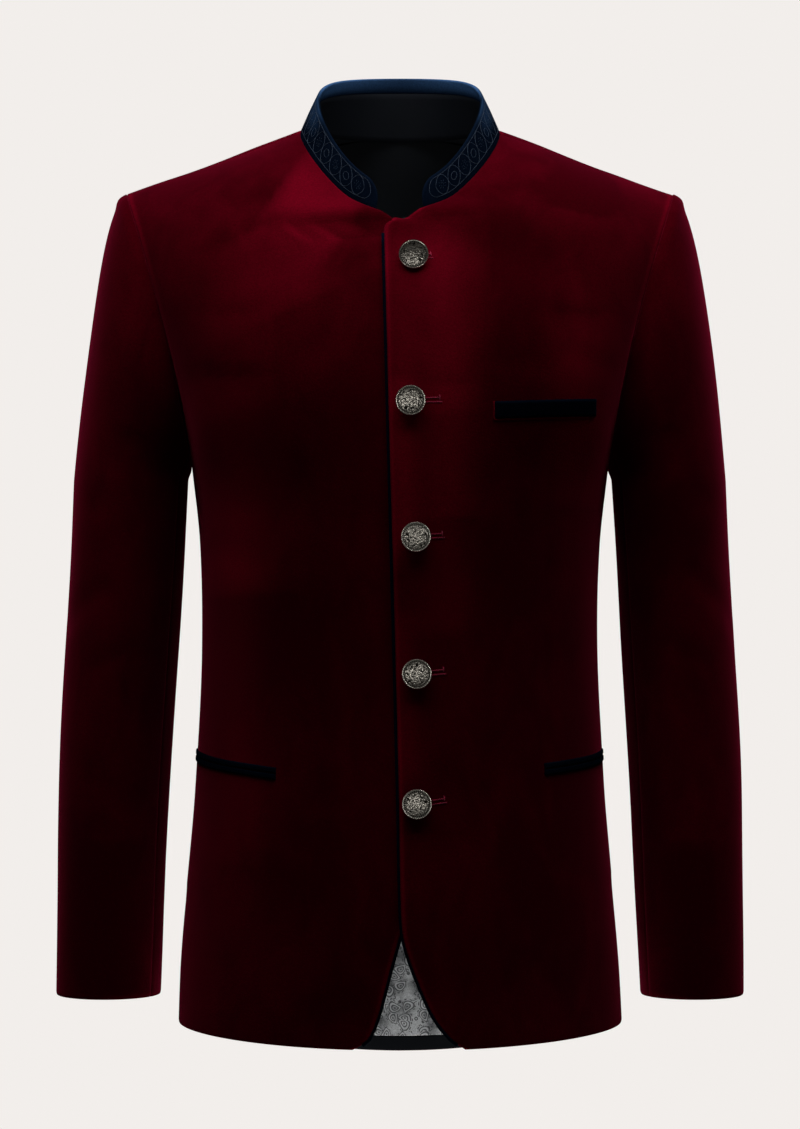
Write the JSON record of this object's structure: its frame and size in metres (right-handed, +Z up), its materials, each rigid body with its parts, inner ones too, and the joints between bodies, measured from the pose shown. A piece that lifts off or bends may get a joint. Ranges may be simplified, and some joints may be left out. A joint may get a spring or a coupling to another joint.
{
  "type": "alpine jacket",
  "caption": "Hollow, filled-out velvet jacket with a stand-up collar, a buttoned front that curves away at the hem, welt pockets and long sleeves.",
  "frame": {"origin": "midway between the two high shoulder points, at the base of the wearer's neck, where neck and shoulders hold the jacket up", "axes": "+Z up along the body, +X towards the wearer's left, -Y out of the front"},
  "size_m": [0.5462, 0.2574, 0.8014],
  "materials": {
    "wine_velvet": "dark wine red cotton velvet, short soft pile",
    "navy_velvet": "navy velvet trim",
    "dark_facing": "black satin facing",
    "grey_jacquard": "silver grey paisley jacquard lining",
    "antique_silver": "antique silver, polished on the raised parts"
  },
  "bodies": {
    "root": {"front_left": "wine_velvet", "front_right": "wine_velvet", "back_left": "wine_velvet", "back_right": "wine_velvet", "sleeve_top_left": "wine_velvet", "sleeve_top_right": "wine_velvet", "sleeve_under_left": "wine_velvet", "sleeve_under_right": "wine_velvet", "collar": "navy_velvet", "front_piping_left": "navy_velvet", "front_piping_right": "navy_velvet", "chest_welt": "navy_velvet", "hip_jet_upper_left": "navy_velvet", "hip_jet_lower_left": "navy_velvet", "hip_jet_upper_right": "navy_velvet", "hip_jet_lower_right": "navy_velvet", "collar_lining": "dark_facing", "neck_facing": "dark_facing", "hem_facing": "dark_facing", "back_lining": "grey_jacquard", "button_1": "antique_silver", "button_2": "antique_silver", "button_3": "antique_silver", "button_4": "antique_silver", "button_5": "antique_silver"}
  },
  "joints": []
}
